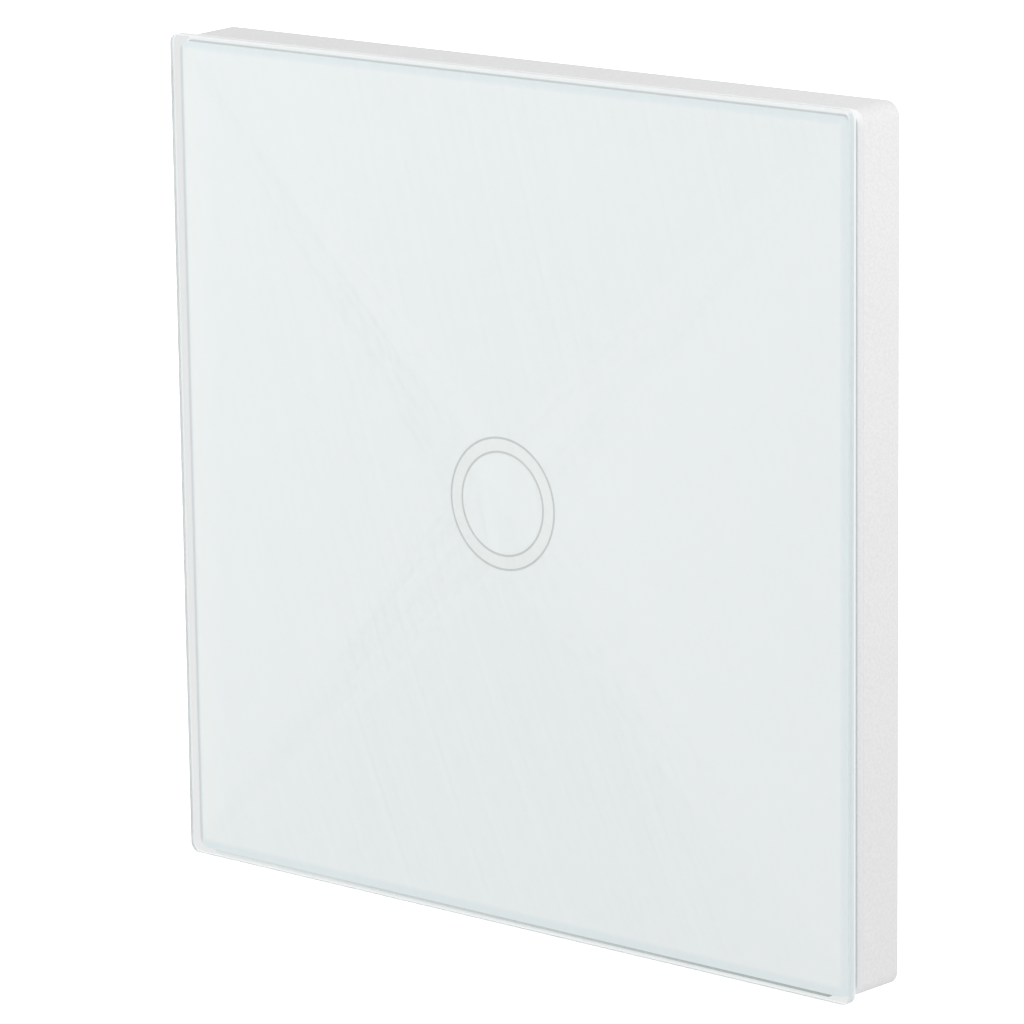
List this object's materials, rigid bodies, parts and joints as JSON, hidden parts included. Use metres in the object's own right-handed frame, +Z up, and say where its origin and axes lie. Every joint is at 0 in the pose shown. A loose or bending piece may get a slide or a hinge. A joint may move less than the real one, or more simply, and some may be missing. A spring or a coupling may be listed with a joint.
{
  "type": "touch light switch",
  "caption": "Square glass touch light switch with a double-ring touch mark, drafted plastic frame, steel mounting plate and rear housing with relay and screw terminals.",
  "frame": {"origin": "centre of the mounting plate's slot pattern, in the plane of the wall", "axes": "+X right and +Z up as seen from the room, +Y into the wall"},
  "size_m": [0.086, 0.0319, 0.086],
  "materials": {
    "glass": "polished clear glass with a faint green cast",
    "white_ink": "even white screen print",
    "grey_ink": "fine grey screen print",
    "window_ink": "translucent white print",
    "tape": "matt grey foam",
    "frame_plastic": "fine sand-textured white plastic",
    "diffuser": "milky translucent plastic",
    "steel": "zinc-plated sheet steel",
    "screw_steel": "zinc-plated steel",
    "housing_plastic": "light grey flame-retardant plastic",
    "cover_plastic": "light grey plastic",
    "board": "green lacquered circuit board",
    "copper": "bare copper",
    "foam": "dark conductive foam",
    "led": "clear and yellowish resin",
    "chip": "black moulding compound",
    "resistor": "black glazed ceramic",
    "capacitor_tan": "tan ceramic",
    "connector_black": "black moulded plastic",
    "brass": "nickel-free brass",
    "relay_blue": "blue moulded plastic",
    "iron": "nickel-plated soft iron",
    "coil_copper": "enamelled copper winding",
    "bobbin": "natural nylon",
    "film": "yellow plastic box",
    "sleeve": "black shrink sleeve",
    "ferrite": "dark grey ferrite",
    "fuse_brown": "brown moulded plastic",
    "varistor_blue": "blue epoxy",
    "terminal_plastic": "dark grey polyamide"
  },
  "bodies": {
    "base": {"mounting_plate": "steel", "module_cover": "cover_plastic", "cover_screws": "screw_steel", "base_housing": "housing_plastic", "touch_board": "board", "sensor_pad": "copper", "sensor_foam": "foam", "indicator_leds": "led", "touch_chip": "chip", "touch_resistors": "resistor", "touch_capacitors": "capacitor_tan", "link_header": "connector_black", "link_pins": "brass", "link_socket": "connector_black", "power_board": "board", "relay_base": "relay_blue", "relay_case": "relay_blue", "relay_yoke": "iron", "relay_core": "iron", "relay_bobbin": "bobbin", "relay_winding": "coil_copper", "relay_fixed_contact": "copper", "film_capacitor": "film", "smoothing_capacitor": "sleeve", "choke_core": "ferrite", "choke_winding": "coil_copper", "fuse": "fuse_brown", "rectifier": "chip", "varistor": "varistor_blue", "regulator": "chip", "terminal_block": "terminal_plastic", "contact_bars": "brass"},
    "front_panel": {"glass_panel": "glass", "backing_print": "white_ink", "ring_lines": "grey_ink", "ring_window": "window_ink", "bonding_tape": "tape", "panel_frame": "frame_plastic", "diffuser_ring": "diffuser"},
    "relay_armature_body": {"relay_armature": "iron", "relay_moving_contact": "copper"},
    "clamp_cage_1": {"terminal_cage_1": "steel"},
    "clamp_screw_1": {"terminal_screw_1": "screw_steel"},
    "clamp_cage_2": {"terminal_cage_2": "steel"},
    "clamp_screw_2": {"terminal_screw_2": "screw_steel"},
    "clamp_cage_3": {"terminal_cage_3": "steel"},
    "clamp_screw_3": {"terminal_screw_3": "screw_steel"}
  },
  "joints": [
    {"name": "panel_lift_off", "type": "slide", "parent": "base", "child": "front_panel", "axis": [0, -1, 0], "range_m": [0, 0.012]},
    {"name": "armature_pivot", "type": "hinge", "parent": "base", "child": "relay_armature_body", "pos_m": [-0.00549, 0.0145, 0.01149], "axis": [0, 0, 1], "range_deg": [0, 4.1], "stiffness_Nm_per_rad": 0.002, "springref_deg": -2.86},
    {"name": "screw_turn_1", "type": "hinge", "parent": "base", "child": "clamp_screw_1", "pos_m": [-0.009, 0.022, -0.019], "axis": [0, -1, 0], "range_deg": [0, 2160.1]},
    {"name": "cage_rise_1", "type": "slide", "parent": "base", "child": "clamp_cage_1", "axis": [0, 1, 0], "range_m": [0, 0.003]},
    {"name": "screw_turn_2", "type": "hinge", "parent": "base", "child": "clamp_screw_2", "pos_m": [0, 0.022, -0.019], "axis": [0, -1, 0], "range_deg": [0, 2160.1]},
    {"name": "cage_rise_2", "type": "slide", "parent": "base", "child": "clamp_cage_2", "axis": [0, 1, 0], "range_m": [0, 0.003]},
    {"name": "screw_turn_3", "type": "hinge", "parent": "base", "child": "clamp_screw_3", "pos_m": [0.009, 0.022, -0.019], "axis": [0, -1, 0], "range_deg": [0, 2160.1]},
    {"name": "cage_rise_3", "type": "slide", "parent": "base", "child": "clamp_cage_3", "axis": [0, 1, 0], "range_m": [0, 0.003]}
  ],
  "couplings": [
    {"joint": "screw_turn_1", "follows": "cage_rise_1", "rad_per_m": 12566},
    {"joint": "screw_turn_2", "follows": "cage_rise_2", "rad_per_m": 12566},
    {"joint": "screw_turn_3", "follows": "cage_rise_3", "rad_per_m": 12566}
  ]
}
